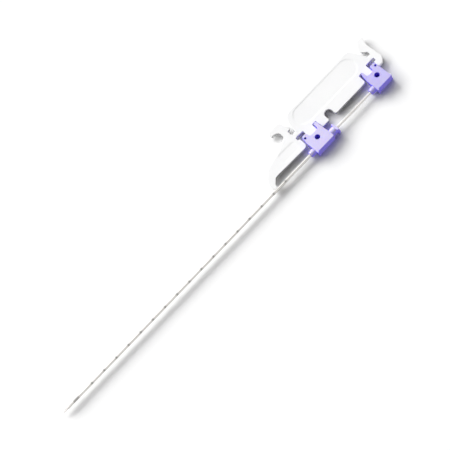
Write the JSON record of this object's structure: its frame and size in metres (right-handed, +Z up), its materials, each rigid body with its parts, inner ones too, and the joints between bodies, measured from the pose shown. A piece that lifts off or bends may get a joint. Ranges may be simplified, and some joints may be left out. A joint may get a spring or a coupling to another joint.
{
  "type": "biopsy needle",
  "caption": "Core biopsy needle: marked steel cannula and stylet in moulded drive hubs, held by a clip-on carrier with two squeeze levers.",
  "frame": {"origin": "axis of the front hub's drive hole, level with the needle's axis (half way up the hubs' thickness)", "axes": "+X from the needle's tip towards the rear hub, +Y from the needle towards the carrier's thumb side, +Z up from the table"},
  "size_m": [0.2775, 0.0332, 0.0052],
  "materials": {
    "steel": "drawn and polished stainless steel with dark etched depth marks",
    "hub_purple": "moulded translucent purple plastic, satin gloss",
    "carrier_white": "moulded white plastic, fine satin"
  },
  "bodies": {
    "root": {"carrier": "carrier_white", "cannula_tube": "steel", "cannula_hub": "hub_purple", "stylet_rod": "steel", "stylet_hub": "hub_purple"},
    "front_lever": {"front_lever": "carrier_white"},
    "rear_lever": {"rear_lever": "carrier_white"}
  },
  "joints": [
    {"name": "front_lever_squeeze", "type": "hinge", "parent": "root", "child": "front_lever", "pos_m": [-0.0067, 0.0119, -0.0004], "axis": [0, 0, 1], "range_deg": [-7, 0], "stiffness_Nm_per_rad": 0.03},
    {"name": "rear_lever_squeeze", "type": "hinge", "parent": "root", "child": "rear_lever", "pos_m": [0.0563, 0.0119, -0.0004], "axis": [0, 0, 1], "range_deg": [0, 7], "stiffness_Nm_per_rad": 0.03}
  ]
}
